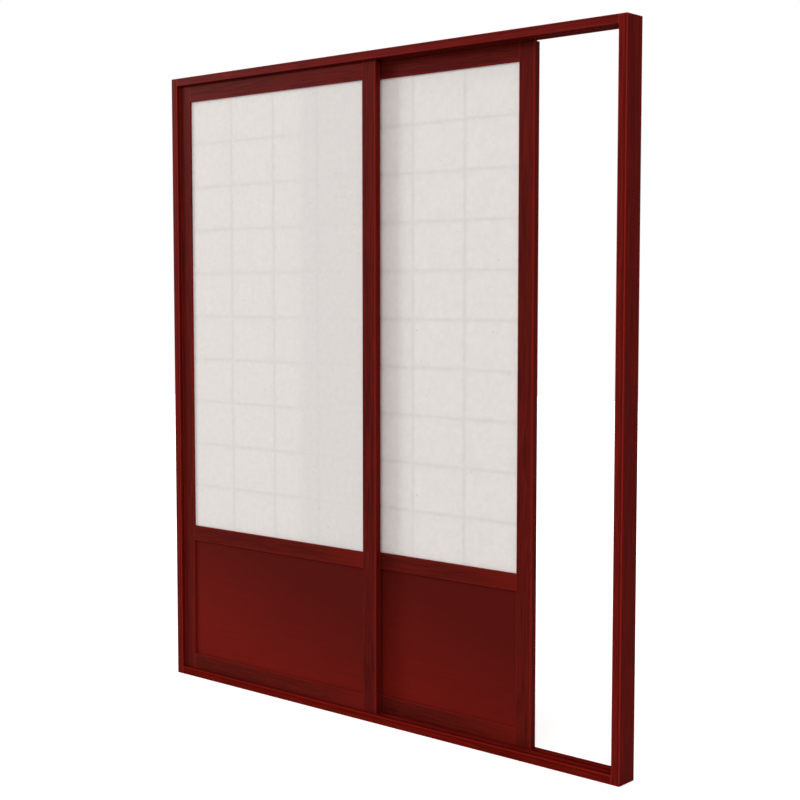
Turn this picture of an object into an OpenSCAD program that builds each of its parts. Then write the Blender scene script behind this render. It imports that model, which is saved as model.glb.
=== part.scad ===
// Shoji sliding screen: two paper doors that pass each other in a doorway frame.
// Millimetres. X runs along the doorway, the paper side faces -Y, Z is up.
// The origin lies on the floor, midway along the frame and midway through its depth.

/* [Frame] */
// Width over the outer faces of the jambs
frame_w = 1830; // [1600:1:2200]
// Height from the floor to the top of the frame
frame_h = 2060; // [1900:1:2300]
// Depth of the jambs, head and sill
frame_d = 74; // [72:1:95]
// Thickness of each jamb
jamb_t = 27; // [22:0.5:35]
// Thickness of the head board
head_t = 25; // [24:0.5:35]
// Thickness of the sill board
sill_t = 25; // [20:0.5:35]
// Eased edges of the frame boards
frame_ease = 1; // [1:0.5:4]

/* [Tracks] */
// Depth of the two grooves under the head
head_groove = 16; // [13:0.5:18]
// Depth of the two grooves in the sill
sill_groove = 5; // [4:0.5:8]
// Eased mouth of each groove
groove_ease = 1.5; // [0.5:0.5:2]
// Room on each side of a door's tongue in its groove
groove_room = 0.75; // [0.5:0.05:1]
// Gap under a door's tongue, over the floor of the sill groove
run_gap = 0.3; // [0.2:0.05:0.6]
// Clear space between the two doors as they pass
pass_gap = 5; // [4:0.5:8]

/* [Corner joints] */
// Diameter of the hidden dowels
dowel_d = 8; // [6:0.5:9]
// Length of a dowel
dowel_l = 40; // [30:1:60]
// Length of a dowel that sits in the jamb
dowel_in_jamb = 15; // [10:0.5:18]
// Glue gap around a dowel
dowel_room = 0.1; // [0.05:0.05:0.2]
// Spare depth at the end of each dowel hole
dowel_spare = 0.5; // [0.2:0.1:1]

/* [Doors] */
// How far the doors overlap when the doorway is shut
door_overlap = 33; // [20:1:60]
// Thickness of a door
door_t = 23; // [20:0.5:24]
// Face width of a stile on the paper side
stile_w = 54.5; // [45:0.5:70]
// Face height of the top rail
top_rail_h = 50.5; // [45:0.5:80]
// Face height of the middle rail
middle_rail_h = 50.5; // [45:0.5:80]
// Face height of the bottom rail
bottom_rail_h = 51.5; // [45:0.5:80]
// Clear height of the kick panel between the bottom and middle rails
kick_h = 398.5; // [300:0.5:520]
// Eased edges of the stiles and rails
door_ease = 1; // [0.5:0.5:2]
// Gap between the sill and the shoulder of a door
sill_gap = 2.6; // [2:0.1:4]
// Gap between the shoulder of a door and the head
head_gap = 6.6; // [5.5:0.1:8]
// Gap left between the near door and the left jamb
stop_gap = 0.3; // [0.2:0.05:1]
// Clear way left between the far door and the right jamb
doorway_open = 298; // [100:1:600]

/* [Guide tongues] */
// Thickness of the tongue along the top and bottom of a door
tongue_t = 7.5; // [6:0.25:9]
// Set-back of the tongue from the paper face
tongue_set = 2.5; // [2:0.25:4]
// Length of the top tongue inside the head groove
tongue_up = 9; // [7:0.5:11]

/* [Rail joints] */
// Thickness of a rail's tenon
tenon_t = 8; // [6:0.5:10]
// Height of a rail's tenon
tenon_h = 34; // [24:0.5:36]
// Length of a rail's tenon
tenon_l = 30; // [20:0.5:38]
// Room around a tenon, stub or panel edge
fit_room = 0.1; // [0.05:0.05:0.2]
// Spare depth at the bottom of a mortise or groove
fit_spare = 0.5; // [0.2:0.1:0.8]

/* [Panel and paper] */
// Thickness of the kick panel
kick_t = 4.5; // [3:0.5:5]
// Set-back of the kick panel from the paper face
kick_set = 6.5; // [5:0.5:9]
// Length of the panel's edge that sits in its groove
kick_in = 6; // [4:0.5:6.5]
// Set-back of the ledge that carries the paper
paper_set = 7; // [4:0.5:9]
// Width of that ledge all round the opening
paper_ledge = 2.5; // [1.5:0.25:4]
// Thickness of the paper
paper_t = 0.4; // [0.3:0.05:0.6]
// Room between the paper's edge and the stiles and rails
paper_room = 0.5; // [0.2:0.1:1]

/* [Lattice] */
// Columns of cells in a door
columns = 4; // [3:1:5]
// Rows of cells in a door
rows = 10; // [8:1:11]
// Face width of a lattice bar
bar_w = 8; // [6:0.5:10]
// Depth of a lattice bar
bar_d = 8; // [6:0.5:8.5]
// Length of the stub at each end of a bar
stub_l = 6; // [4:0.5:8]
// Shoulder around a stub
stub_shoulder = 1.5; // [1:0.25:2]
// Room beside each half lap
lap_room = 0.1; // [0.05:0.05:0.2]

/* [Hidden] */
// Overcut that keeps cutting tools clear of the faces they cut through
cut = 1;

// Stained wood and paper, as red, green and blue shares
frame_wood = [0.40, 0.09, 0.07];
door_wood = [0.34, 0.08, 0.07];
panel_wood = [0.40, 0.09, 0.07];
dowel_wood = [0.76, 0.60, 0.42];
paper_white = [0.88, 0.86, 0.84];

// Opening inside the frame
opening_w = frame_w - 2 * jamb_t;
head_bottom = frame_h - head_t;

// Doors: left edge and paper face of the near and the far one
near = 0;
far = 1;
left = 0;
right = 1;
door_w = (opening_w + door_overlap) / 2;
near_x = -opening_w / 2 + stop_gap;
far_x = opening_w / 2 - doorway_open - door_w;
door_x = [near_x, far_x];
door_y = [-pass_gap / 2 - door_t, pass_gap / 2];

// Heights of a door's shoulders and of the tips of its tongues
shoulder_low = sill_t + sill_gap;
shoulder_high = head_bottom - head_gap;
tongue_low = sill_t - sill_groove + run_gap;
tongue_high = head_bottom + tongue_up;

// Grooves for the tongues, as the near and far side of each
groove_w = tongue_t + 2 * groove_room;
groove_y = [for (y = door_y) y + tongue_set - groove_room];

// Heights of the rails and of the two openings between them
kick_z0 = shoulder_low + bottom_rail_h;
kick_z1 = kick_z0 + kick_h;
paper_z0 = kick_z1 + middle_rail_h;
paper_z1 = shoulder_high - top_rail_h;

// Clear opening behind the paper, inside the ledges
clear_x0 = stile_w + paper_ledge;
clear_x1 = door_w - clear_x0;
clear_z0 = paper_z0 + paper_ledge;
clear_z1 = paper_z1 - paper_ledge;
cell_w = (clear_x1 - clear_x0 - (columns - 1) * bar_w) / columns;
cell_h = (clear_z1 - clear_z0 - (rows - 1) * bar_w) / rows;

// Tenons stand in the middle of the door's thickness
tenon_y = (door_t - tenon_t) / 2;
stub_w = bar_w - 2 * stub_shoulder;
stub_d = bar_d - 2 * stub_shoulder;

// Dowels stand in the middle of the near and the far rim beside the grooves
dowel_y = [(groove_y[near] - frame_d / 2) / 2, (groove_y[far] + groove_w + frame_d / 2) / 2];
dowel_z = [sill_t / 2, head_bottom + head_t / 2];
round_sides = 48;

door_names = ["near_door", "far_door"];
side_names = ["left", "right"];
function door_part(d, part) = str(door_names[d], "_", part);
function side_part(d, s, part) = str(door_names[d], "_", side_names[s], "_", part);
function bar_part(d, part, i) = str(door_names[d], "_", part, "_", i);

// Left edge of lattice upright i and lower edge of lattice crossbar i
function upright_x(i) = clear_x0 + i * cell_w + (i - 1) * bar_w;
function crossbar_z(i) = clear_z0 + i * cell_h + (i - 1) * bar_w;

// Rectangle with its low corner at the origin and the two corners at a = 0 eased
function outer_eased(a, b, ease) = [[ease, 0], [a, 0], [a, b], [ease, b], [0, b - ease], [0, ease]];

// Rectangle with its low corner at the origin and all corners eased
function eased_outline(a, b, ease) = [
    [ease, 0], [a - ease, 0], [a, ease], [a, b - ease],
    [a - ease, b], [ease, b], [0, b - ease], [0, ease]
];

// Triangle that takes the arris off a corner at [a, b], with dir = -1 for a corner on the low side of b
function arris_points(a, b, ease, dir) = [
    [a - ease - cut, b + dir * cut], [a + cut, b + dir * cut], [a + cut, b - dir * (ease + cut)]
];

// One groove cut up from z = 0, with an eased mouth
function groove_points(y, depth) = [
    [y - groove_ease, 0], [y, groove_ease], [y, depth],
    [y + groove_w, depth], [y + groove_w, groove_ease], [y + groove_w + groove_ease, 0]
];

// Section of a track board, grooves on its lower face at z = 0
function track_outline(t, depth) = concat(
    [[-frame_d / 2, frame_ease], [-frame_d / 2 + frame_ease, 0]],
    groove_points(groove_y[near], depth),
    groove_points(groove_y[far], depth),
    [[frame_d / 2 - frame_ease, 0], [frame_d / 2, frame_ease], [frame_d / 2, t - frame_ease],
     [frame_d / 2 - frame_ease, t], [-frame_d / 2 + frame_ease, t], [-frame_d / 2, t - frame_ease]]
);

// Section of a stile, with the paper ledge on its inner edge
function stile_outline() = [
    [door_ease, 0], [stile_w, 0], [stile_w, paper_set], [clear_x0, paper_set],
    [clear_x0, door_t], [door_ease, door_t], [0, door_t - door_ease], [0, door_ease]
];

// Section of a rail from z0 to z1, with the ledge below, above or on both sides
function rail_outline(z0, z1, below, above) = concat(
    [[0, z0 + door_ease], [door_ease, z0]],
    below ? [[paper_set, z0], [paper_set, z0 - paper_ledge]] : [],
    [[door_t - door_ease, z0 - (below ? paper_ledge : 0)],
     [door_t, z0 - (below ? paper_ledge : 0) + door_ease],
     [door_t, z1 + (above ? paper_ledge : 0) - door_ease],
     [door_t - door_ease, z1 + (above ? paper_ledge : 0)]],
    above ? [[paper_set, z1 + paper_ledge], [paper_set, z1]] : [],
    [[door_ease, z1], [0, z1 - door_ease]]
);

// Sweeps a section drawn in Y and Z along X
module along_x(x0, x1) {
    translate([x0, 0, 0]) rotate([90, 0, 90]) linear_extrude(x1 - x0) children();
}

// Box between two corners
module box(low, high) {
    translate(low) cube(high - low);
}

// Carries a door's piece to the place of that door
module in_door(d) {
    translate([door_x[d], door_y[d], 0]) children();
}

// Turns a piece drawn for the left side of a door over to its right side
module on_side(s) {
    if (s == left) children();
    else translate([door_w, 0, 0]) mirror([1, 0, 0]) children();
}

// Round hole or peg along X, from x0 to x1
module round_x(x0, x1, r, y, z) {
    translate([x0, y, z]) rotate([0, 90, 0]) cylinder(h = x1 - x0, r = r, $fn = round_sides);
}

// Left jamb: eased where it stands free, with blind holes for the dowels on its inner face
module jamb() {
    inner = -opening_w / 2;
    difference() {
        intersection() {
            translate([-frame_w / 2, -frame_d / 2, 0]) linear_extrude(frame_h)
                polygon(outer_eased(jamb_t, frame_d, frame_ease));
            translate([-frame_w / 2, frame_d / 2, 0]) rotate([90, 0, 0]) linear_extrude(frame_d)
                polygon(outer_eased(jamb_t, frame_h, frame_ease));
            along_x(-frame_w / 2, inner) translate([-frame_d / 2, 0])
                polygon(eased_outline(frame_d, frame_h, frame_ease));
        }
        translate([0, 0, sill_t]) linear_extrude(head_bottom - sill_t) for (dir = [-1, 1])
            polygon(arris_points(inner, dir * frame_d / 2, frame_ease, dir));
        for (y = dowel_y, z = dowel_z)
            round_x(inner - dowel_in_jamb - dowel_spare, inner + cut, dowel_d / 2 + dowel_room, y, z);
    }
}

module left_jamb() {
    color(frame_wood) jamb();
}

module right_jamb() {
    color(frame_wood) mirror([1, 0, 0]) jamb();
}

// Holes for the dowels in both ends of a track board
module end_holes(z) {
    in_board = dowel_l - dowel_in_jamb + dowel_spare;
    for (y = dowel_y, turn = [0, 1]) mirror([turn, 0, 0])
        round_x(-opening_w / 2 - cut, -opening_w / 2 + in_board, dowel_d / 2 + dowel_room, y, z);
}

module head() {
    color(frame_wood) difference() {
        translate([0, 0, head_bottom]) along_x(-opening_w / 2, opening_w / 2)
            polygon(track_outline(head_t, head_groove));
        end_holes(dowel_z[1]);
    }
}

module sill() {
    color(frame_wood) difference() {
        translate([0, 0, sill_t]) mirror([0, 0, 1]) along_x(-opening_w / 2, opening_w / 2)
            polygon(track_outline(sill_t, sill_groove));
        end_holes(dowel_z[0]);
    }
}

// All the dowels of the four corners
module corner_dowels() {
    x0 = -opening_w / 2 - dowel_in_jamb;
    color(dowel_wood) for (y = dowel_y, z = dowel_z, turn = [0, 1]) mirror([turn, 0, 0])
        round_x(x0, x0 + dowel_l, dowel_d / 2, y, z);
}

// Mortise in a stile for the tenon of a rail from z0 to z1
module rail_mortise(z0, z1) {
    middle = (z0 + z1) / 2;
    box([stile_w - tenon_l - fit_spare, tenon_y - fit_room, middle - tenon_h / 2 - fit_room],
        [clear_x0 + cut, tenon_y + tenon_t + fit_room, middle + tenon_h / 2 + fit_room]);
}

// Mortise in a stile for the stub of a crossbar
module crossbar_mortise(z) {
    middle = z + bar_w / 2;
    y = paper_set + stub_shoulder;
    box([clear_x0 - stub_l - fit_spare, y - fit_room, middle - stub_w / 2 - fit_room],
        [clear_x0 + cut, y + stub_d + fit_room, middle + stub_w / 2 + fit_room]);
}

// Takes the inner arrises off a stile along an opening from z0 to z1
module inner_arrises(z0, z1) {
    translate([0, 0, z0]) linear_extrude(z1 - z0) {
        polygon(arris_points(stile_w, 0, door_ease, -1));
        polygon(arris_points(clear_x0, door_t, door_ease, 1));
    }
}

// Upright of a door: guide tongue at both ends, mortised for the rails and the crossbars
module stile(d, s) {
    panel_edge = kick_in + fit_spare;
    color(door_wood) in_door(d) on_side(s) difference() {
        union() {
            translate([0, 0, shoulder_low]) linear_extrude(shoulder_high - shoulder_low)
                polygon(stile_outline());
            box([0, tongue_set, tongue_low], [stile_w, tongue_set + tongue_t, tongue_high]);
        }
        rail_mortise(shoulder_low, kick_z0);
        rail_mortise(kick_z1, paper_z0);
        rail_mortise(paper_z1, shoulder_high);
        inner_arrises(kick_z0, kick_z1);
        inner_arrises(paper_z0, paper_z1);
        for (i = [1:rows - 1]) crossbar_mortise(crossbar_z(i));
        box([clear_x0 - panel_edge, kick_set - fit_room, kick_z0 + paper_ledge - panel_edge],
            [clear_x0 + cut, kick_set + kick_t + fit_room, kick_z1 - paper_ledge + panel_edge]);
    }
}

// Body of a rail between the stiles, with a tenon at each end and notched over the stiles' ledges.
// A child is the rail's guide tongue.
module rail_body(z0, z1, below, above) {
    middle = (z0 + z1) / 2;
    notch_z0 = below ? z0 - paper_ledge - cut : z0;
    notch_z1 = above ? z1 + paper_ledge + cut : z1;
    difference() {
        union() {
            along_x(stile_w, door_w - stile_w) polygon(rail_outline(z0, z1, below, above));
            children();
        }
        for (s = [left, right]) on_side(s)
            box([stile_w - cut, paper_set, notch_z0], [clear_x0, door_t + cut, notch_z1]);
    }
    box([stile_w - tenon_l, tenon_y, middle - tenon_h / 2],
        [door_w - stile_w + tenon_l, tenon_y + tenon_t, middle + tenon_h / 2]);
}

// Mortise in a rail for the stub of a lattice upright, from z0 to z1
module upright_mortises(z0, z1) {
    y = paper_set + stub_shoulder;
    for (i = [1:columns - 1]) {
        middle = upright_x(i) + bar_w / 2;
        box([middle - stub_w / 2 - fit_room, y - fit_room, z0],
            [middle + stub_w / 2 + fit_room, y + stub_d + fit_room, z1]);
    }
}

// Groove in a rail for the edge of the kick panel, from z0 to z1
module panel_groove(z0, z1) {
    box([stile_w - cut, kick_set - fit_room, z0],
        [door_w - stile_w + cut, kick_set + kick_t + fit_room, z1]);
}

module top_rail(d) {
    middle = (paper_z1 + shoulder_high) / 2;
    color(door_wood) in_door(d) difference() {
        rail_body(paper_z1, shoulder_high, true, false)
            box([stile_w, tongue_set, middle], [door_w - stile_w, tongue_set + tongue_t, tongue_high]);
        upright_mortises(clear_z1 - cut, clear_z1 + stub_l + fit_spare);
    }
}

module middle_rail(d) {
    color(door_wood) in_door(d) difference() {
        rail_body(kick_z1, paper_z0, true, true);
        upright_mortises(clear_z0 - stub_l - fit_spare, clear_z0 + cut);
        panel_groove(kick_z1 - paper_ledge - cut, kick_z1 - paper_ledge + kick_in + fit_spare);
    }
}

module bottom_rail(d) {
    middle = (shoulder_low + kick_z0) / 2;
    color(door_wood) in_door(d) difference() {
        rail_body(shoulder_low, kick_z0, false, true)
            box([stile_w, tongue_set, tongue_low], [door_w - stile_w, tongue_set + tongue_t, middle]);
        panel_groove(kick_z0 + paper_ledge - kick_in - fit_spare, kick_z0 + paper_ledge + cut);
    }
}

module kick_panel(d) {
    color(panel_wood) in_door(d)
        box([clear_x0 - kick_in, kick_set, kick_z0 + paper_ledge - kick_in],
            [clear_x1 + kick_in, kick_set + kick_t, kick_z1 - paper_ledge + kick_in]);
}

// Sheet on the ledge and on the lattice, seen from the paper side
module paper(d) {
    color(paper_white) in_door(d)
        box([stile_w + paper_room, paper_set - paper_t, paper_z0 + paper_room],
            [door_w - stile_w - paper_room, paper_set, paper_z1 - paper_room]);
}

// Standing bar of the lattice, cut half away on its far side where crossbars pass
module lattice_upright(d, i) {
    x = upright_x(i);
    y = paper_set + stub_shoulder;
    color(door_wood) in_door(d) difference() {
        union() {
            box([x, paper_set, clear_z0], [x + bar_w, paper_set + bar_d, clear_z1]);
            box([x + stub_shoulder, y, clear_z0 - stub_l],
                [x + bar_w - stub_shoulder, y + stub_d, clear_z1 + stub_l]);
        }
        for (k = [1:rows - 1])
            box([x - cut, paper_set + bar_d / 2, crossbar_z(k) - lap_room],
                [x + bar_w + cut, paper_set + bar_d + cut, crossbar_z(k) + bar_w + lap_room]);
    }
}

// Lying bar of the lattice, cut half away on its near side where uprights pass
module lattice_crossbar(d, i) {
    z = crossbar_z(i);
    y = paper_set + stub_shoulder;
    color(door_wood) in_door(d) difference() {
        union() {
            box([clear_x0, paper_set, z], [clear_x1, paper_set + bar_d, z + bar_w]);
            box([clear_x0 - stub_l, y, z + stub_shoulder],
                [clear_x1 + stub_l, y + stub_d, z + bar_w - stub_shoulder]);
        }
        for (k = [1:columns - 1])
            box([upright_x(k) - lap_room, paper_set - cut, z - cut],
                [upright_x(k) + bar_w + lap_room, paper_set + bar_d / 2, z + bar_w + cut]);
    }
}

left_jamb();
right_jamb();
head();
sill();
corner_dowels();
for (d = [near, far]) {
    for (s = [left, right])
        stile(d, s);
    top_rail(d);
    middle_rail(d);
    bottom_rail(d);
    kick_panel(d);
    paper(d);
    for (i = [1:columns - 1])
        lattice_upright(d, i);
    for (i = [1:rows - 1])
        lattice_crossbar(d, i);
}
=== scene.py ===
"""Looks of a shoji sliding screen: stained wooden frame and doors, paper on a lattice."""

import logging
import math
from dataclasses import dataclass
from enum import Enum

import bpy
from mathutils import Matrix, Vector


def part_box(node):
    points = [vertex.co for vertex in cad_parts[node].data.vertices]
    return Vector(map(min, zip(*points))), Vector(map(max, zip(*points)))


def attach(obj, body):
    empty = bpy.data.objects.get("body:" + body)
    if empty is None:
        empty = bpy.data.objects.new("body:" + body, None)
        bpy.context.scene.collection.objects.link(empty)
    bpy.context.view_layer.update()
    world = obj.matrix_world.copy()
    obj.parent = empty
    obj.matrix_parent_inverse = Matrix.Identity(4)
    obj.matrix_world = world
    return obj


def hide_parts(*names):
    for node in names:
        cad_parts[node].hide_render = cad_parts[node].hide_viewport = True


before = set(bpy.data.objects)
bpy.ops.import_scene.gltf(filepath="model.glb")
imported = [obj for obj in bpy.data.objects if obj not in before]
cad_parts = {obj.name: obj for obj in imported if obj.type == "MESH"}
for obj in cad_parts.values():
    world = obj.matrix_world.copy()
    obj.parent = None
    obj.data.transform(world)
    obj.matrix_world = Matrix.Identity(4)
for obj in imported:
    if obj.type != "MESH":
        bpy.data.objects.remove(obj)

LOG = logging.getLogger("shoji_screen")
MM = 0.001
BLACK = (0.0, 0.0, 0.0, 1.0)
WHITE = (1.0, 1.0, 1.0, 1.0)


class Grain(Enum):
    """The way that the wood's fibres run in a piece, as a turn that brings them to X."""

    ALONG_X = (0.0, 0.0, 0.0)
    ALONG_Z = (0.0, math.pi / 2, 0.0)


class DoorName(Enum):
    """The two doors, by the body that each one is."""

    NEAR = "near_door"
    FAR = "far_door"


def linear(red: int, green: int, blue: int) -> tuple[float, float, float, float]:
    """Turns a colour as it is seen on a screen into the shares of light that shaders use.

    Args:
        red: red from 0 to 255.
        green: green from 0 to 255.
        blue: blue from 0 to 255.

    Returns:
        Linear red, green, blue and an alpha of 1.
    """
    shares = []
    for level in (red, green, blue):
        c = level / 255
        shares.append(c / 12.92 if c <= 0.04045 else ((c + 0.055) / 1.055) ** 2.4)
    return (shares[0], shares[1], shares[2], 1.0)


class Graph:
    """Adds nodes to one tree and links them."""

    def __init__(self, tree: bpy.types.NodeTree) -> None:
        """Takes a tree and empties it."""
        self.tree = tree
        tree.nodes.clear()

    def feed(self, socket: bpy.types.NodeSocket, value: object) -> None:
        """Links a socket to an input, or sets the input's own value.

        Args:
            socket: the input.
            value: the socket to link to it, or the value that it keeps.
        """
        if isinstance(value, bpy.types.NodeSocket):
            self.tree.links.new(value, socket)
        else:
            socket.default_value = value

    def add(self, kind: str, inputs: dict | None = None, **settings: object) -> bpy.types.Node:
        """Adds one node.

        Args:
            kind: the node's type.
            inputs: values or sockets for its inputs, by name or number.
            settings: values for the node's own properties.

        Returns:
            The new node.
        """
        node = self.tree.nodes.new(kind)
        for name, value in settings.items():
            setattr(node, name, value)
        for key, value in (inputs or {}).items():
            self.feed(node.inputs[key], value)
        return node

    def math(self, operation: str, a: object, b: object = None, clamp: bool = False) -> bpy.types.NodeSocket:
        """Adds a Math node.

        Args:
            operation: what it does.
            a: its first value or socket.
            b: its second value or socket, if it takes one.
            clamp: whether the result is kept between 0 and 1.

        Returns:
            The socket with the result.
        """
        inputs = {0: a} if b is None else {0: a, 1: b}
        return self.add("ShaderNodeMath", inputs, operation=operation, use_clamp=clamp).outputs[0]

    def stretch(self, vector: object, by: tuple[float, float, float]) -> bpy.types.NodeSocket:
        """Multiplies a vector by three numbers."""
        node = self.add("ShaderNodeVectorMath", {0: vector, 1: by}, operation="MULTIPLY")
        return node.outputs[0]

    def noise(self, vector: object, detail: float, rough: float = 0.55,
              bend: float = 0.0) -> bpy.types.NodeSocket:
        """Adds a noise of about one patch for each unit of its vector.

        Args:
            vector: the socket with the place.
            detail: how many finer layers it has.
            rough: how strong the finer layers are.
            bend: how far it is pulled about by itself.

        Returns:
            The socket with the value, from 0 to 1.
        """
        inputs = {"Vector": vector, "Scale": 1.0, "Detail": detail, "Roughness": rough, "Distortion": bend}
        return self.add("ShaderNodeTexNoise", inputs).outputs[0]

    def span(self, value: object, low: float, high: float, to_low: float = 0.0, to_high: float = 1.0,
             soft: bool = False) -> bpy.types.NodeSocket:
        """Maps a value from one range to another and keeps it there.

        Args:
            value: the socket to map.
            low: the value that gives to_low.
            high: the value that gives to_high.
            to_low: the result at low.
            to_high: the result at high.
            soft: whether the ends are eased.

        Returns:
            The socket with the result.
        """
        inputs = {0: value, 1: low, 2: high, 3: to_low, 4: to_high}
        kind = "SMOOTHSTEP" if soft else "LINEAR"
        return self.add("ShaderNodeMapRange", inputs, interpolation_type=kind, clamp=True).outputs[0]

    def mix(self, share: object, a: object, b: object, blend: str = "MIX") -> bpy.types.NodeSocket:
        """Mixes two colours.

        Args:
            share: how much of the second there is.
            a: the first colour or socket.
            b: the second colour or socket.
            blend: how they are mixed.

        Returns:
            The socket with the colour.
        """
        node = self.add("ShaderNodeMix", {0: share, 6: a, 7: b}, data_type="RGBA", blend_type=blend)
        return node.outputs[2]


def new_group(name: str, inputs: dict[str, str],
              outputs: dict[str, str]) -> tuple[Graph, dict[str, bpy.types.NodeSocket], bpy.types.Node]:
    """Starts a shader node group.

    Args:
        name: the group's name.
        inputs: socket type by the name of each input.
        outputs: socket type by the name of each output.

    Returns:
        The graph to fill, the input sockets by name and the output node.
    """
    tree = bpy.data.node_groups.new(name, "ShaderNodeTree")
    graph = Graph(tree)
    for label, kind in inputs.items():
        tree.interface.new_socket(label, in_out="INPUT", socket_type=kind)
    for label, kind in outputs.items():
        tree.interface.new_socket(label, in_out="OUTPUT", socket_type=kind)
    entry = graph.add("NodeGroupInput")
    return graph, {label: entry.outputs[label] for label in inputs}, graph.add("NodeGroupOutput")


def grain_group() -> bpy.types.NodeTree:
    """Makes the group for stained wood with its fibres along X.

    Returns:
        The group, which gives a colour, a roughness and a height.
    """
    graph, given, out = new_group(
        "stained_grain",
        {"Place": "NodeSocketVector", "Tone": "NodeSocketColor", "Deep": "NodeSocketColor",
         "Figure": "NodeSocketFloat", "Pores": "NodeSocketFloat", "Gloss": "NodeSocketFloat"},
        {"Color": "NodeSocketColor", "Roughness": "NodeSocketFloat", "Height": "NodeSocketFloat"},
    )
    drift = graph.noise(graph.stretch(given["Place"], (1.6, 9.0, 9.0)), 2.0)
    sway = graph.math("MULTIPLY", graph.math("SUBTRACT", drift, 0.5), 0.06)
    shift = graph.add("ShaderNodeCombineXYZ", {1: sway, 2: sway}).outputs[0]
    place = graph.add("ShaderNodeVectorMath", {0: given["Place"], 1: shift}).outputs[0]
    broad = graph.noise(graph.stretch(place, (0.9, 22.0, 22.0)), 2.0)
    streak = graph.noise(graph.stretch(place, (3.0, 110.0, 110.0)), 3.0, 0.6)
    line = graph.noise(graph.stretch(place, (6.0, 260.0, 260.0)), 2.0, 0.5)
    pore = graph.noise(graph.stretch(place, (45.0, 1300.0, 1300.0)), 2.0)
    light = None
    for value, share in ((broad, 0.2), (streak, 0.45), (line, 0.6)):
        part = graph.math("MULTIPLY", graph.math("SUBTRACT", graph.span(value, 0.3, 0.7), 0.5), share)
        light = part if light is None else graph.math("ADD", light, part)
    light = graph.math("ADD", graph.math("MULTIPLY", light, given["Figure"]), 0.5, True)
    pits = graph.math("MULTIPLY", graph.span(pore, 0.6, 0.74, soft=True), given["Pores"])
    stained = graph.mix(light, given["Deep"], given["Tone"])
    pitted = graph.mix(graph.math("MULTIPLY", pits, 0.4), stained, given["Deep"], "MULTIPLY")
    graph.feed(out.inputs["Color"], pitted)
    dull = graph.math("ADD", graph.math("MULTIPLY", streak, 0.12), graph.math("MULTIPLY", pits, 0.15))
    graph.feed(out.inputs["Roughness"], graph.math("ADD", given["Gloss"], dull, True))
    ridges = graph.math("SUBTRACT", graph.math("MULTIPLY", line, 0.35), graph.math("MULTIPLY", pits, 0.65))
    graph.feed(out.inputs["Height"], ridges)
    return graph.tree


def edge_group() -> bpy.types.NodeTree:
    """Makes the group that finds the edges of a board, where the stain is rubbed thin and a painted highlight
    lightens it.

    Returns:
        The group, which gives a mask from how far a place lies from the board's nearest edge.
    """
    graph, given, out = new_group(
        "rubbed_edge_highlight",
        {"Place": "NodeSocketVector", "Half": "NodeSocketVector",
         "Reach": "NodeSocketFloat", "Wear_highlight": "NodeSocketFloat"},
        {"Mask": "NodeSocketFloat"},
    )
    size = graph.add("ShaderNodeVectorMath", {0: given["Place"]}, operation="ABSOLUTE").outputs[0]
    inside = graph.add("ShaderNodeVectorMath", {0: given["Half"], 1: size}, operation="SUBTRACT").outputs[0]
    x, y, z = graph.add("ShaderNodeSeparateXYZ", {0: inside}).outputs
    second = graph.math("MINIMUM", graph.math("MAXIMUM", x, y), z)
    nearest = graph.math("MAXIMUM", graph.math("MINIMUM", x, y), second)
    patches = graph.noise(graph.stretch(given["Place"], (22.0, 22.0, 22.0)), 4.0)
    patchy = graph.span(patches, 0.25, 0.75, 0.7, 1.2)
    share = graph.math("DIVIDE", nearest, graph.math("MULTIPLY", given["Reach"], patchy))
    mask = graph.span(share, 0.35, 1.15, 1.0, 0.0, soft=True)
    graph.feed(out.inputs["Mask"], graph.math("MULTIPLY", mask, given["Wear_highlight"], True))
    return graph.tree


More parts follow.
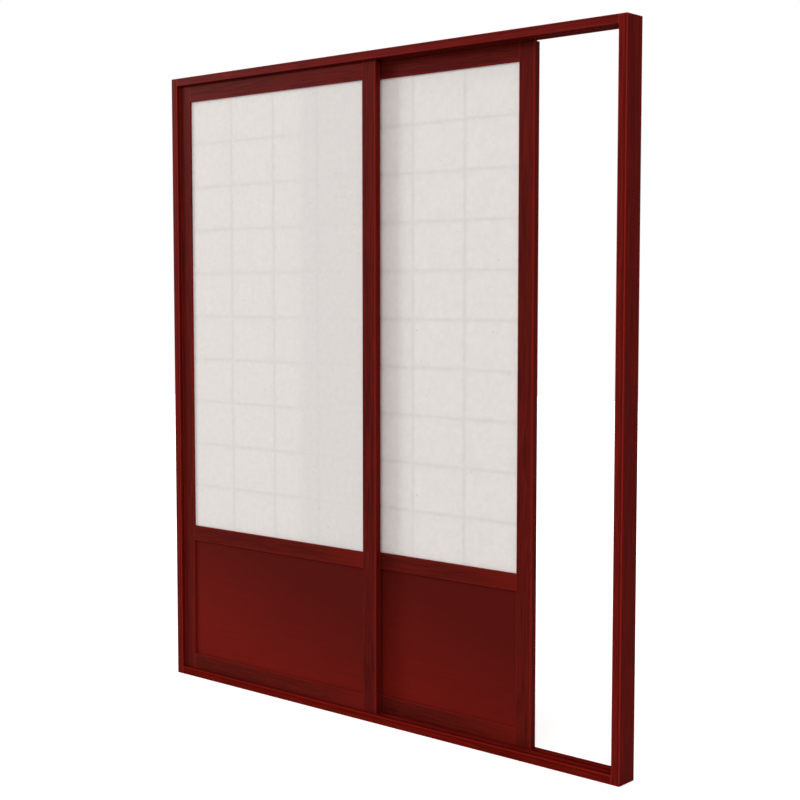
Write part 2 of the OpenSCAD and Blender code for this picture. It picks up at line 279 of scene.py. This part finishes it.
def fibre_group() -> bpy.types.NodeTree:
    """Makes the group for handmade paper: clouds of pulp, long pale fibres and flecks of bark.

    Returns:
        The group, which gives a tone from 0 to 1, a mask of the flecks and a height.
    """
    graph, given, out = new_group(
        "paper_fibre",
        {"Place": "NodeSocketVector"},
        {"Tone": "NodeSocketFloat", "Fleck": "NodeSocketFloat", "Height": "NodeSocketFloat"},
    )
    place = given["Place"]
    # The share of the cells of bark that hold a fleck
    flecked = 0.022
    cloud = graph.noise(graph.stretch(place, (55.0, 55.0, 55.0)), 5.0, 0.6, 0.3)
    fine = graph.noise(graph.stretch(place, (420.0, 420.0, 420.0)), 3.0, 0.6)
    lines = []
    for scale, bend in (((34.0, 34.0, 120.0), 2.2), ((110.0, 34.0, 38.0), 2.6)):
        bands = graph.noise(graph.stretch(place, scale), 1.0, 0.4, bend)
        away = graph.math("ABSOLUTE", graph.math("SUBTRACT", bands, 0.5))
        lines.append(graph.span(away, 0.004, 0.016, 1.0, 0.0, soft=True))
    strands = graph.math("MULTIPLY", graph.math("MAXIMUM", lines[0], lines[1]), graph.span(cloud, 0.45, 0.65))
    mottle = graph.math("ADD", graph.math("MULTIPLY", graph.span(cloud, 0.25, 0.75), 0.65),
                        graph.math("MULTIPLY", graph.span(fine, 0.25, 0.75), 0.35))
    graph.feed(out.inputs["Tone"], graph.math("ADD", mottle, graph.math("MULTIPLY", strands, 0.35), True))
    x, _, z = graph.add("ShaderNodeSeparateXYZ", {0: graph.stretch(place, (52.0, 0.0, 68.0))}).outputs
    flat = graph.add("ShaderNodeCombineXYZ", {0: x, 1: z}).outputs[0]
    bark = graph.add("ShaderNodeTexVoronoi", {"Vector": flat, "Scale": 1.0}, voronoi_dimensions="2D").outputs
    chance = graph.add("ShaderNodeSeparateColor", {0: bark["Color"]}).outputs
    near = graph.math("LESS_THAN", bark["Distance"], graph.span(chance[1], 0.0, 1.0, 0.04, 0.14))
    chosen = graph.math("GREATER_THAN", chance[0], 1.0 - flecked)
    graph.feed(out.inputs["Fleck"], graph.math("MULTIPLY", near, chosen))
    graph.feed(out.inputs["Height"], graph.math("ADD", graph.math("MULTIPLY", fine, 0.5), strands))
    return graph.tree


class Groups:
    """The effects that several materials share, each made once."""

    def __init__(self) -> None:
        """Builds the groups."""
        self.grain = grain_group()
        self.edge = edge_group()
        self.fibre = fibre_group()


@dataclass(frozen=True)
class Board:
    """One piece of wood: where it lies and the way that its fibres run.

    Attributes:
        node: the piece's name.
        grain: the way that the fibres run.
    """

    node: str
    grain: Grain

    def centre(self) -> Vector:
        """Gives the middle of the piece's box."""
        low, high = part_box(self.node)
        return (Vector(low) + Vector(high)) / 2

    def half(self) -> Vector:
        """Gives half of the size of the piece's box."""
        low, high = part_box(self.node)
        return (Vector(high) - Vector(low)) / 2

    def log_place(self) -> tuple[float, float, float]:
        """Gives the place in the log that the piece was sawn from, another one for each piece."""
        number = sum(ord(letter) * (i + 1) for i, letter in enumerate(self.node))
        return (number % 97 * 0.31, number % 89 * 0.17, number % 83 * 0.13)


@dataclass(frozen=True)
class StainedWood:
    """Red-stained wood under a satin lacquer.

    Attributes:
        name: the finish's name.
        tone: its lighter colour, as seen on a screen.
        deep: its darker colour.
        worn_highlight: its colour on edges, partly rubbed stain and partly a painted highlight of light on
            rounded edges.
        figure: how strongly light and dark streaks part.
        pores: how strongly open pores show.
        gloss: the least roughness of the lacquer.
        reach: how far from an edge the rubbed stain and painted highlight go, in metres.
        wear_highlight: how strongly the edges are rubbed and lightened by painted highlight.
        fade: how much painted shade darkens the top right of a piece.
        right_end_lighten: how far the right end of a piece turns towards the edge colour.
        edge_shade: how dark the painted shade line beside the upper or the right edge is.
        dull: how much rougher the faces between the front and the back are, and how much painted shade
            darkens them.
        groove_shade: how far painted shade darkens the grooves in them.
        shine: how much light the lacquer mirrors.
    """

    name: str
    tone: tuple[int, int, int]
    deep: tuple[int, int, int]
    worn_highlight: tuple[int, int, int]
    figure: float = 1.6
    pores: float = 0.5
    gloss: float = 0.36
    reach: float = 6.5 * MM
    wear_highlight: float = 0.8
    fade: float = 0.0
    right_end_lighten: float = 0.0
    edge_shade: float = 0.0
    dull: float = 0.0
    groove_shade: float = 0.0
    shine: float = 0.013

    def material(self, groups: Groups, board: Board) -> bpy.types.Material:
        """Makes the finish for one piece.

        Args:
            groups: the shared effects.
            board: the piece.

        Returns:
            The material.
        """
        material = bpy.data.materials.new(f"{self.name}_{board.node}")
        material.use_nodes = True
        graph = Graph(material.node_tree)
        place = graph.add("ShaderNodeTexCoord").outputs["Object"]
        inputs = {0: place, 1: board.centre()}
        local = graph.add("ShaderNodeVectorMath", inputs, operation="SUBTRACT").outputs[0]
        inputs = {"Vector": local, "Location": board.log_place(), "Rotation": board.grain.value}
        sawn = graph.add("ShaderNodeMapping", inputs).outputs[0]
        wood = graph.add("ShaderNodeGroup", {
            "Place": sawn, "Tone": linear(*self.tone), "Deep": linear(*self.deep),
            "Figure": self.figure, "Pores": self.pores, "Gloss": self.gloss,
        }, node_tree=groups.grain)
        colour = wood.outputs["Color"]
        # Painted shade: the top right of the piece is darker.
        if self.fade:
            colour = self.shade_top_right(graph, colour, local, board)
        # Painted shade: a dark line beside the upper or the right edge.
        if self.edge_shade:
            colour = self.shade_beside_edge(graph, colour, local, board)
        # Lighter edges: partly rubbed stain, partly painted highlight where rounded edges would catch the
        # light.
        edge = graph.add("ShaderNodeGroup", {
            "Place": local, "Half": board.half(), "Reach": self.reach, "Wear_highlight": self.wear_highlight,
        }, node_tree=groups.edge)
        worn_highlight = edge.outputs["Mask"]
        # The right end of the piece turns towards the edge colour.
        if self.right_end_lighten:
            x = graph.add("ShaderNodeSeparateXYZ", {0: local}).outputs[0]
            along = graph.math("DIVIDE", x, board.half().x)
            worn_highlight = graph.math("MAXIMUM", worn_highlight, graph.span(along, 0.35, 0.95, 0.0, self.right_end_lighten, soft=True))
        colour = graph.mix(worn_highlight, colour, linear(*self.worn_highlight))
        rough = wood.outputs["Roughness"]
        # Painted shade on the side faces and in their grooves, which are also made rougher.
        if self.dull:
            colour, rough = self.shade_and_dull_sides(graph, colour, rough, local, board)
        relief = graph.add("ShaderNodeBump", {
            "Height": wood.outputs["Height"], "Distance": 0.2 * MM, "Strength": 0.35,
        })
        skin = graph.add("ShaderNodeBsdfPrincipled", {
            "Base Color": colour, "Roughness": rough, "Normal": relief.outputs[0],
            "Specular IOR Level": self.shine,
        })
        graph.add("ShaderNodeOutputMaterial", {"Surface": skin.outputs[0]})
        return material

    def shade_beside_edge(self, graph: Graph, colour: bpy.types.NodeSocket, local: bpy.types.NodeSocket,
               board: Board) -> bpy.types.NodeSocket:
        """Paints a line of shade beside a board's upper edge, or an upright's right edge.

        Args:
            graph: the material's graph.
            colour: the colour so far.
            local: the place in the piece.
            board: the piece.

        Returns:
            The socket with the colour.
        """
        across = 2 if board.grain is Grain.ALONG_X else 0
        place = graph.add("ShaderNodeSeparateXYZ", {0: local}).outputs[across]
        inside = graph.math("SUBTRACT", board.half()[across], place)
        begin = graph.span(inside, 2.0 * MM, 4.0 * MM, soft=True)
        end = graph.span(inside, 7.0 * MM, 10.0 * MM, self.edge_shade, 0.0, soft=True)
        return graph.mix(graph.math("MULTIPLY", begin, end), colour, linear(*self.deep))

    def shade_top_right(self, graph: Graph, colour: bpy.types.NodeSocket, local: bpy.types.NodeSocket,
               board: Board) -> bpy.types.NodeSocket:
        """Paints shade that darkens a piece towards its top right.

        Args:
            graph: the material's graph.
            colour: the colour so far.
            local: the place in the piece.
            board: the piece.

        Returns:
            The socket with the colour.
        """
        half = board.half()
        lean = (0.38 / half.x, 0.0, 0.62 / half.z)
        inputs = {0: local, 1: lean}
        across = graph.add("ShaderNodeVectorMath", inputs, operation="DOT_PRODUCT").outputs["Value"]
        cloud = graph.noise(graph.stretch(local, (4.0, 4.0, 4.0)), 2.0)
        height = graph.math("ADD", across, graph.math("MULTIPLY", graph.math("SUBTRACT", cloud, 0.5), 0.15))
        share = graph.math("MULTIPLY", graph.span(height, -0.5, 0.45), self.fade)
        return graph.mix(share, colour, linear(*self.deep))

    def shade_and_dull_sides(self, graph: Graph, colour: bpy.types.NodeSocket, rough: bpy.types.NodeSocket,
            local: bpy.types.NodeSocket, board: Board) -> tuple[bpy.types.NodeSocket, bpy.types.NodeSocket]:
        """Paints shade on the faces between a board's front and its back and in the grooves in them, and
        makes these faces rougher.

        Args:
            graph: the material's graph.
            colour: the colour so far.
            rough: the roughness so far.
            local: the place in the piece.
            board: the piece.

        Returns:
            The sockets with the colour and the roughness.
        """
        size = graph.add("ShaderNodeVectorMath", {0: local}, operation="ABSOLUTE").outputs[0]
        inputs = {0: board.half(), 1: size}
        inside = graph.add("ShaderNodeVectorMath", inputs, operation="SUBTRACT").outputs[0]
        _, y, z = graph.add("ShaderNodeSeparateXYZ", {0: inside}).outputs
        inner = graph.span(y, 0.8 * MM, 2.2 * MM, soft=True)
        # Painted shade on the faces between the front and the back.
        colour = graph.mix(graph.math("MULTIPLY", inner, self.dull), colour, BLACK)
        # Painted shade in the grooves, away from the top and bottom faces.
        groove_shade_mask = graph.math("MULTIPLY", inner, graph.span(z, 1.0 * MM, 3.0 * MM, 0.0, self.groove_shade))
        colour = graph.mix(groove_shade_mask, colour, BLACK)
        return colour, graph.math("ADD", rough, graph.math("MULTIPLY", inner, 1.5 * self.dull), True)


@dataclass(frozen=True)
class FibrePaper:
    """Matt white paper that lets some light through.

    Attributes:
        name: the finish's name.
        pale: its colour on thick pulp, as seen on a screen.
        grey: its colour on thin pulp.
        bark: the colour of the flecks of bark in it.
        through: the share of light that goes on through each face.
        bar_shadow: how much a painted shadow of the bars darkens the paper along the uprights.
        crossbar_paste: the share of that along the crossbars.
        upright_spread: how far from an upright's middle the painted shadow reaches, in metres.
        crossbar_spread: how far it reaches from a crossbar's middle, in metres.
        bar_shadow_fade: over what width the painted shadow thins out, in metres.
        speck: how strongly the flecks show.
    """

    name: str
    pale: tuple[int, int, int]
    grey: tuple[int, int, int]
    bark: tuple[int, int, int]
    through: float
    bar_shadow: float
    crossbar_paste: float = 0.55
    upright_spread: float = 9.0 * MM
    crossbar_spread: float = 6.5 * MM
    bar_shadow_fade: float = 4.5 * MM
    speck: float = 0.36

    def material(self, groups: Groups, door: str) -> bpy.types.Material:
        """Makes the material for one door's paper.

        Args:
            groups: the shared effects.
            door: the door's name.

        Returns:
            The material.
        """
        material = bpy.data.materials.new(f"{self.name}_{door}")
        material.use_nodes = True
        graph = Graph(material.node_tree)
        place = graph.add("ShaderNodeTexCoord").outputs["Object"]
        pulp = graph.add("ShaderNodeGroup", {"Place": place}, node_tree=groups.fibre)
        colour = graph.mix(pulp.outputs["Tone"], linear(*self.grey), linear(*self.pale))
        flecks = graph.math("MULTIPLY", pulp.outputs["Fleck"], self.speck)
        colour = graph.mix(flecks, colour, linear(*self.bark))
        x, _, z = graph.add("ShaderNodeSeparateXYZ", {0: place}).outputs
        uprights = [Board(f"{door}_lattice_upright_{i}", Grain.ALONG_Z).centre().x for i in (1, 2)]
        crossbars = [Board(f"{door}_lattice_crossbar_{i}", Grain.ALONG_X).centre().z for i in (1, 2)]
        # Painted shadow of the lattice bars, darkening the paper along them.
        upright = self.bar_shadow_strips(graph, x, uprights[0], uprights[1], self.upright_spread)
        crossbar = self.bar_shadow_strips(graph, z, crossbars[0], crossbars[1], self.crossbar_spread)
        crossbar = graph.math("MULTIPLY", crossbar, self.crossbar_paste)
        bar_shadow_mask = graph.math("MULTIPLY", graph.math("MAXIMUM", upright, crossbar), self.bar_shadow)
        colour = graph.mix(bar_shadow_mask, colour, BLACK)
        relief = graph.add("ShaderNodeBump", {
            "Height": pulp.outputs["Height"], "Distance": 0.1 * MM, "Strength": 0.25,
        })
        face = graph.add("ShaderNodeBsdfPrincipled", {
            "Base Color": colour, "Roughness": 0.85, "Normal": relief.outputs[0], "Specular IOR Level": 0.1,
        })
        glow = graph.add("ShaderNodeBsdfTranslucent", {"Color": colour})
        both = graph.add("ShaderNodeMixShader", {0: self.through, 1: face.outputs[0], 2: glow.outputs[0]})
        graph.add("ShaderNodeOutputMaterial", {"Surface": both.outputs[0]})
        return material

    def bar_shadow_strips(self, graph: Graph, along: bpy.types.NodeSocket, first: float, second: float,
               reach: float) -> bpy.types.NodeSocket:
        """Finds the strips of paper that lie on bars.

        Args:
            graph: the material's graph.
            along: the place across the bars.
            first: the place of the first bar.
            second: the place of the next bar.
            reach: how far from a bar's middle the painted shadow reaches, in metres.

        Returns:
            The socket with a mask, 1 on a bar.
        """
        step = second - first
        bars = graph.math("DIVIDE", graph.math("SUBTRACT", along, first), step)
        away = graph.math("ABSOLUTE", graph.math("SUBTRACT", bars, graph.math("ROUND", bars)))
        distance = graph.math("MULTIPLY", away, step)
        return graph.span(distance, reach - self.bar_shadow_fade, reach, 1.0, 0.0, soft=True)


HEAD_WOOD = StainedWood("head_stain", (111, 24, 19), (79, 14, 11), (111, 24, 18), figure=1.4, reach=3.5 * MM,
                        edge_shade=0.7, dull=0.4)
SILL_WOOD = StainedWood("sill_stain", (110, 21, 15), (80, 11, 7), (124, 24, 17), figure=1.2, reach=3.5 * MM,
                        edge_shade=0.7, dull=0.04, groove_shade=0.55, shine=0.0)
JAMB_WOOD = StainedWood("jamb_stain", (108, 21, 15), (76, 13, 9), (136, 27, 20), figure=1.4, reach=3.2 * MM,
                        wear_highlight=0.95, edge_shade=0.8, dull=0.1)
STILE_WOOD = StainedWood("stile_stain", (92, 20, 15), (68, 14, 11), (114, 22, 15), figure=1.8, wear_highlight=0.95)
RAIL_WOOD = StainedWood("rail_stain", (92, 21, 15), (70, 15, 11), (108, 21, 14), figure=1.5, reach=7.0 * MM,
                        right_end_lighten=0.55)
PANEL_WOOD = StainedWood("panel_veneer", (120, 23, 16), (79, 17, 13), (114, 21, 14), figure=0.35, pores=0.3,
                         wear_highlight=0.3, fade=0.95)
LATTICE_WOOD = StainedWood("lattice_stain", (94, 20, 15), (74, 14, 10), (106, 24, 18), reach=1.5 * MM,
                           wear_highlight=0.4)
DOWEL_WOOD = StainedWood("bare_dowel", (204, 168, 122), (182, 142, 96), (210, 176, 130), gloss=0.6, wear_highlight=0.2)
PAPER = FibrePaper("shoji_paper", (233, 228, 225), (223, 218, 215), (168, 142, 130), through=0.2, bar_shadow=0.021)


@dataclass
class DoorwayFrame:
    """The fixed frame: jambs, head, sill and the dowels in their joints.

    Attributes:
        groups: the shared effects.
    """

    groups: Groups

    def dress(self) -> None:
        """Gives each board its stain, with the fibres along the board."""
        boards = {
            (JAMB_WOOD, Grain.ALONG_Z): ["left_jamb", "right_jamb"],
            (HEAD_WOOD, Grain.ALONG_X): ["head"],
            (SILL_WOOD, Grain.ALONG_X): ["sill"],
            (DOWEL_WOOD, Grain.ALONG_X): ["corner_dowels"],
        }
        finish_boards(boards, self.groups)


@dataclass
class SlidingDoor:
    """One door: stiles and rails around a kick panel and a papered lattice.

    Attributes:
        name: which door it is.
        groups: the shared effects.
        paper: the material of its paper.
        puff: how far the paper stands out in the middle of a cell, in metres.
        ripple: how far it waves where the glue has set, in metres.
    """

    name: DoorName
    groups: Groups
    paper: bpy.types.Material
    puff: float = 0.25 * MM
    ripple: float = 0.2 * MM

    def bars(self, kind: str) -> list[str]:
        """Lists the names of the door's lattice bars of one kind, upright or crossbar."""
        start = f"{self.name.value}_lattice_{kind}_"
        return sorted(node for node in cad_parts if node.startswith(start))

    def dress(self) -> None:
        """Gives the door's wooden pieces their stain, with the fibres along each piece."""
        door = self.name.value
        boards = {
            (STILE_WOOD, Grain.ALONG_Z): [f"{door}_left_stile", f"{door}_right_stile"],
            (STILE_WOOD, Grain.ALONG_X): [f"{door}_top_rail"],
            (RAIL_WOOD, Grain.ALONG_X): [f"{door}_middle_rail", f"{door}_bottom_rail"],
            (PANEL_WOOD, Grain.ALONG_X): [f"{door}_kick_panel"],
            (LATTICE_WOOD, Grain.ALONG_Z): self.bars("upright"),
            (LATTICE_WOOD, Grain.ALONG_X): self.bars("crossbar"),
        }
        finish_boards(boards, self.groups)

    def build_paper(self) -> bpy.types.Object:
        """Makes the door's sheet of paper, drawn tight over the lattice.

        Returns:
            The sheet, in the place of the plain one.
        """
        door = self.name.value
        plain = f"{door}_paper"
        low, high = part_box(plain)
        tree = paper_tree()
        piece = bpy.data.objects.new(f"{door}_paper_sheet", bpy.data.meshes.new("paper"))
        bpy.context.scene.collection.objects.link(piece)
        maker = piece.modifiers.new("paper", "NODES")
        maker.node_group = tree
        uprights, crossbars = self.bars("upright"), self.bars("crossbar")
        values = {
            "Width": high.x - low.x, "Height": high.z - low.z,
            "Columns": len(uprights) + 1, "Rows": len(crossbars) + 1,
            "Puff": self.puff, "Ripple": self.ripple, "Material": self.paper,
            "Place": ((low.x + high.x) / 2, low.y, (low.z + high.z) / 2),
        }
        for item in tree.interface.items_tree:
            if item.item_type == "SOCKET" and item.in_out == "INPUT":
                maker[item.identifier] = values[item.name]
        wall = piece.modifiers.new("thickness", "SOLIDIFY")
        wall.thickness = high.y - low.y
        wall.offset = -1.0
        mesh = bpy.data.meshes.new_from_object(piece.evaluated_get(bpy.context.evaluated_depsgraph_get()))
        piece.modifiers.clear()
        piece.data = mesh
        mesh.shade_smooth()
        mesh.set_sharp_from_angle(angle=math.radians(40))
        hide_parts(plain)
        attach(piece, door)
        return piece


def finish_boards(boards: dict[tuple[StainedWood, Grain], list[str]], groups: Groups) -> None:
    """Gives each carried-over piece of wood its own material.

    Args:
        boards: the names of the pieces, by their finish and the way that their fibres run.
        groups: the shared effects.
    """
    for (finish, grain), nodes in boards.items():
        for node in nodes:
            material = finish.material(groups, Board(node, grain))
            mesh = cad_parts[node].data
            mesh.materials.clear()
            mesh.materials.append(material)
            LOG.info("%s: %s", node, material.name)


def paper_tree() -> bpy.types.NodeTree:
    """Makes the tree that draws paper over a lattice, or gives it if it is there.

    Returns:
        The geometry tree, with named inputs for the sheet's sizes.
    """
    found = bpy.data.node_groups.get("paper_on_lattice")
    if found:
        return found
    # Faces of the sheet along and up one cell of the lattice
    cell_steps = (12, 10)
    tree = bpy.data.node_groups.new("paper_on_lattice", "GeometryNodeTree")
    graph = Graph(tree)
    sockets = {
        "Width": "NodeSocketFloat", "Height": "NodeSocketFloat",
        "Columns": "NodeSocketInt", "Rows": "NodeSocketInt",
        "Puff": "NodeSocketFloat", "Ripple": "NodeSocketFloat",
        "Place": "NodeSocketVector", "Material": "NodeSocketMaterial",
    }
    for label, kind in sockets.items():
        tree.interface.new_socket(label, in_out="INPUT", socket_type=kind)
    tree.interface.new_socket("Geometry", in_out="OUTPUT", socket_type="NodeSocketGeometry")
    given = graph.add("NodeGroupInput").outputs
    across = graph.math("ADD", graph.math("MULTIPLY", given["Columns"], cell_steps[0]), 1)
    upward = graph.math("ADD", graph.math("MULTIPLY", given["Rows"], cell_steps[1]), 1)
    grid = graph.add("GeometryNodeMeshGrid", {"Size X": given["Width"], "Size Y": given["Height"],
                                              "Vertices X": across, "Vertices Y": upward})
    place = graph.add("GeometryNodeInputPosition").outputs[0]
    parts = graph.add("ShaderNodeSeparateXYZ", {0: place}).outputs
    sides = ((parts[0], given["Width"], given["Columns"]), (parts[1], given["Height"], given["Rows"]))
    swell = None
    for along, size, count in sides:
        cells = graph.math("MULTIPLY", graph.math("ADD", graph.math("DIVIDE", along, size), 0.5), count)
        rise = graph.math("ABSOLUTE", graph.math("SINE", graph.math("MULTIPLY", cells, math.pi)))
        swell = rise if swell is None else graph.math("SQRT", graph.math("MULTIPLY", swell, rise))
    wave = graph.noise(graph.stretch(place, (9.0, 9.0, 9.0)), 2.0)
    waved = graph.math("MULTIPLY", graph.math("MULTIPLY", wave, given["Ripple"]), swell)
    lift = graph.math("ADD", graph.math("MULTIPLY", swell, given["Puff"]), waved)
    offset = graph.add("ShaderNodeCombineXYZ", {2: lift}).outputs[0]
    drawn = graph.add("GeometryNodeSetPosition", {"Geometry": grid.outputs[0], "Offset": offset})
    stood = graph.add("GeometryNodeTransform", {"Geometry": drawn.outputs[0], "Translation": given["Place"],
                                                "Rotation": (math.pi / 2, 0.0, 0.0)})
    real = graph.add("GeometryNodeRealizeInstances", {0: stood.outputs[0]})
    inputs = {"Geometry": real.outputs[0], "Material": given["Material"]}
    dressed = graph.add("GeometryNodeSetMaterial", inputs)
    graph.add("NodeGroupOutput", {0: dressed.outputs[0]})
    return tree


@dataclass(frozen=True)
class Lamp:
    """A large soft lamp.

    Attributes:
        name: the lamp's name.
        turn: the way to it, in degrees to the right of the paper side.
        lift: the way to it, in degrees up from level.
        away: how far off it is, in metres.
        size: its width and height, in metres.
        power: its power, in watts.
    """

    name: str
    turn: float
    lift: float
    away: float
    size: tuple[float, float]
    power: float

    def hang(self, middle: Vector) -> None:
        """Hangs the lamp.

        Args:
            middle: the place that it is aimed at.
        """
        data = bpy.data.lights.new(self.name, "AREA")
        data.shape = "RECTANGLE"
        data.size, data.size_y = self.size
        data.energy = self.power
        lamp = bpy.data.objects.new(self.name, data)
        turn, lift = math.radians(self.turn), math.radians(self.lift)
        way = Vector((math.sin(turn) * math.cos(lift), -math.cos(turn) * math.cos(lift), math.sin(lift)))
        lamp.location = middle + way * self.away
        lamp.rotation_euler = (-way).to_track_quat("-Z", "Y").to_euler()
        bpy.context.scene.collection.objects.link(lamp)


LAMPS = (
    Lamp("left", -67.0, 16.0, 30.0, (8.0, 5.5), 5900.0),
    Lamp("front", 36.0, 42.0, 30.0, (24.0, 36.0), 5700.0),
    Lamp("back", 193.0, 20.0, 30.0, (9.0, 9.0), 4400.0),
)


@dataclass
class Studio:
    """Camera, lamps, white surroundings and floor.

    Attributes:
        eye: where the camera stands, in metres.
        turn: how far it looks to the left of +Y, in degrees.
        dip: how far it looks down, in degrees.
        lens: its focal length on a 36 mm wide frame, in millimetres.
        ambient: how bright the surroundings light the screen.
        aim: the place that the lamps are aimed at, in metres.
        floor_half: half of the floor's width, in metres.
        floor_fade: where the floor starts and ends fading into the white, in metres from the middle.
        floor_lift: how far it is brightened there.
    """

    eye: tuple[float, float, float] = (3.0347, -3.3399, 1.3311)
    turn: float = 41.361
    dip: float = 4.161
    lens: float = 66.07
    ambient: float = 0.34
    aim: tuple[float, float, float] = (0.0, 0.0, 1.0)
    floor_half: float = 12.0
    floor_fade: tuple[float, float] = (0.8, 3.5)
    floor_lift: tuple[float, float] = (0.48, 0.66)

    def build(self) -> None:
        """Sets up everything around the screen."""
        self.camera()
        for lamp in LAMPS:
            lamp.hang(Vector(self.aim))
        self.surroundings()
        self.floor()
        bpy.context.scene.view_settings.view_transform = "Standard"

    def camera(self) -> None:
        """Places the camera where the photographer stood."""
        data = bpy.data.cameras.new("camera")
        data.lens = self.lens
        data.sensor_width = 36.0
        camera = bpy.data.objects.new("camera", data)
        camera.location = self.eye
        camera.rotation_euler = (math.radians(90.0 - self.dip), 0.0, math.radians(self.turn))
        bpy.context.scene.collection.objects.link(camera)
        bpy.context.scene.camera = camera

    def surroundings(self) -> None:
        """Makes a soft even light, which looks white where it is seen or mirrored."""
        world = bpy.data.worlds.new("studio")
        world.use_nodes = True
        bpy.context.scene.world = world
        graph = Graph(world.node_tree)
        rays = graph.add("ShaderNodeLightPath").outputs
        seen = graph.math("MAXIMUM", graph.math("MAXIMUM", rays["Is Camera Ray"], rays["Is Glossy Ray"]),
                          rays["Is Transmission Ray"])
        light = graph.add("ShaderNodeBackground", {"Color": WHITE, "Strength": self.ambient})
        white = graph.add("ShaderNodeBackground", {"Color": WHITE, "Strength": 1.0})
        both = graph.add("ShaderNodeMixShader", {0: seen, 1: light.outputs[0], 2: white.outputs[0]})
        graph.add("ShaderNodeOutputWorld", {"Surface": both.outputs[0]})

    def floor(self) -> None:
        """Lays a pale floor that keeps the screen's shadow and fades into the white around it."""
        half = self.floor_half
        corners = [(-half, -half, 0.0), (half, -half, 0.0), (half, half, 0.0), (-half, half, 0.0)]
        mesh = bpy.data.meshes.new("floor")
        mesh.from_pydata(corners, [], [(0, 1, 2, 3)])
        floor = bpy.data.objects.new("floor", mesh)
        bpy.context.scene.collection.objects.link(floor)
        material = bpy.data.materials.new("pale_floor")
        material.use_nodes = True
        graph = Graph(material.node_tree)
        place = graph.add("ShaderNodeTexCoord").outputs["Object"]
        away = graph.add("ShaderNodeVectorMath", {0: place}, operation="LENGTH").outputs["Value"]
        rays = graph.add("ShaderNodeLightPath").outputs
        fade = graph.span(away, *self.floor_fade, *self.floor_lift, soft=True)
        lift = graph.math("MULTIPLY", rays["Is Camera Ray"], fade)
        matt = graph.add("ShaderNodeBsdfDiffuse", {"Color": (0.82, 0.82, 0.82, 1.0)})
        glow = graph.add("ShaderNodeEmission", {"Color": WHITE, "Strength": lift})
        both = graph.add("ShaderNodeAddShader", {0: matt.outputs[0], 1: glow.outputs[0]})
        graph.add("ShaderNodeOutputMaterial", {"Surface": both.outputs[0]})
        mesh.materials.append(material)


def main() -> None:
    """Builds the studio, the frame and the doors, and logs each piece's finish and the faces of each sheet of
    paper.
    """
    logging.basicConfig(level=logging.INFO, format="%(name)s: %(message)s")
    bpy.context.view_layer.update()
    Studio().build()
    groups = Groups()
    DoorwayFrame(groups).dress()
    for name in DoorName:
        door = SlidingDoor(name, groups, PAPER.material(groups, name.value))
        door.dress()
        sheet = door.build_paper()
        LOG.info("%s: %d faces", sheet.name, len(sheet.data.polygons))


if __name__ == "__main__":
    main()
